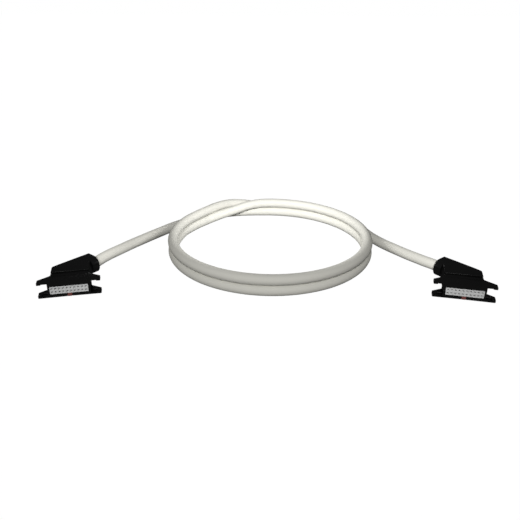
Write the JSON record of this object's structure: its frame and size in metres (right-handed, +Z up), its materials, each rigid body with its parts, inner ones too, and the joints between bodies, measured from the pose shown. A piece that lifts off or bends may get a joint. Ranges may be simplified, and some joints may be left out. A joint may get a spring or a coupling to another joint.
{
  "type": "round ribbon cable assembly with hooded sockets",
  "caption": "Light grey round-jacketed cable in a flat coil, with a black hooded insulation-displacement socket on each end for linking a controller to a terminal block.",
  "frame": {"origin": "on the floor, under the middle of the box round both connectors", "axes": "+X from the left connector to the right one, +Y from the contact faces towards the coil, +Z up"},
  "size_m": [0.319, 0.1806, 0.0164],
  "materials": {
    "hood_plastic": "moulded black plastic with a fine satin texture",
    "socket_plastic": "moulded grey plastic",
    "contact_metal": "gold plated spring contacts",
    "cover_plastic": "moulded black plastic",
    "key_plastic": "dull red plastic",
    "ribbon_plastic": "grey ribbed ribbon insulation",
    "bush_rubber": "black rubber",
    "tie_plastic": "natural nylon",
    "jacket": "smooth light grey jacket with a soft sheen"
  },
  "bodies": {
    "root": {"hood_upper_left": "hood_plastic", "hood_lower_left": "hood_plastic", "socket_body_left": "socket_plastic", "contacts_left": "contact_metal", "idc_cover_left": "cover_plastic", "polarising_key_left": "key_plastic", "ribbon_left": "ribbon_plastic", "cable_bush_left": "bush_rubber", "cable_tie_left": "tie_plastic", "hood_upper_right": "hood_plastic", "hood_lower_right": "hood_plastic", "socket_body_right": "socket_plastic", "contacts_right": "contact_metal", "idc_cover_right": "cover_plastic", "polarising_key_right": "key_plastic", "ribbon_right": "ribbon_plastic", "cable_bush_right": "bush_rubber", "cable_tie_right": "tie_plastic", "cable_tail_left": "jacket", "cable_coil": "jacket", "cable_tail_right": "jacket"}
  },
  "joints": []
}
